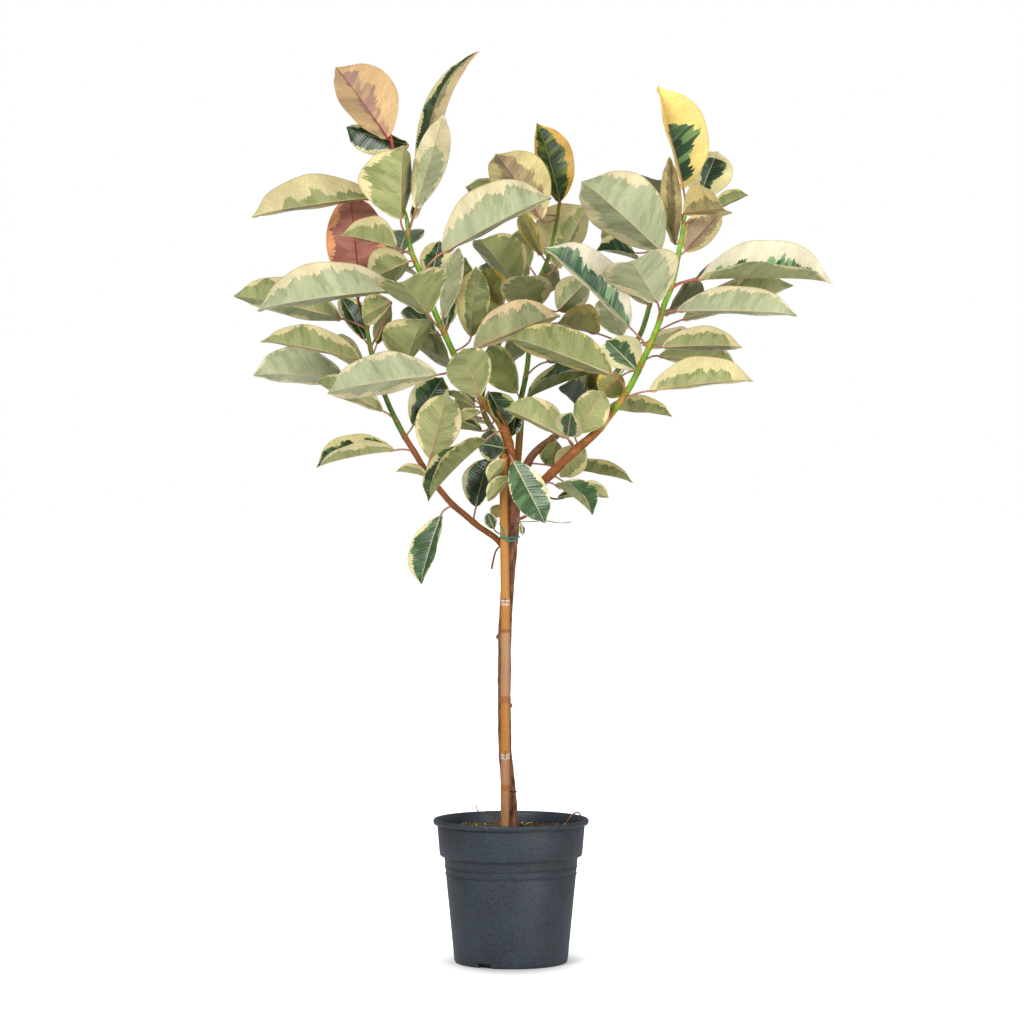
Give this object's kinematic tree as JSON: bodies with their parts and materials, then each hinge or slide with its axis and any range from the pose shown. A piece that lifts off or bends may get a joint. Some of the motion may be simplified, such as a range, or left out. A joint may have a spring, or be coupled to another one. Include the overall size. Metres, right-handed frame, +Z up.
{
  "type": "potted rubber plant",
  "caption": "Variegated rubber plant grown as a small tree: bare trunk tied to a bamboo cane, stems of broad cream-edged leaves, in a round plastic nursery pot filled with soil",
  "frame": {"origin": "middle of the pot's underside, on the raised pad that the pot stands on", "axes": "+Z up along the pot's axis and the trunk; -Y is the front of the plant as pictured; +X is its right side seen from the front"},
  "size_m": [0.912, 0.4222, 1.3997],
  "materials": {
    "nursery_plastic": "satin, finely stippled",
    "potting_soil": "crumbly, with moss and white perlite",
    "brown_bark": "rough, flaking",
    "bamboo": "smooth, slightly waxy",
    "variegated_leaf": "glossy above, matte below, cream margins",
    "coated_wire": "satin teal coating",
    "dark_twine": "fibrous"
  },
  "bodies": {
    "root": {"pot": "nursery_plastic", "soil": "potting_soil", "trunk": "brown_bark", "bamboo_cane": "bamboo", "low_left_stem": "variegated_leaf", "tall_left_stem": "variegated_leaf", "middle_stem": "variegated_leaf", "back_right_stem": "variegated_leaf", "tall_right_stem": "variegated_leaf", "back_stem": "variegated_leaf", "upper_tie": "coated_wire", "lower_string": "dark_twine", "root_loop": "brown_bark", "dry_twig": "brown_bark"}
  },
  "joints": []
}
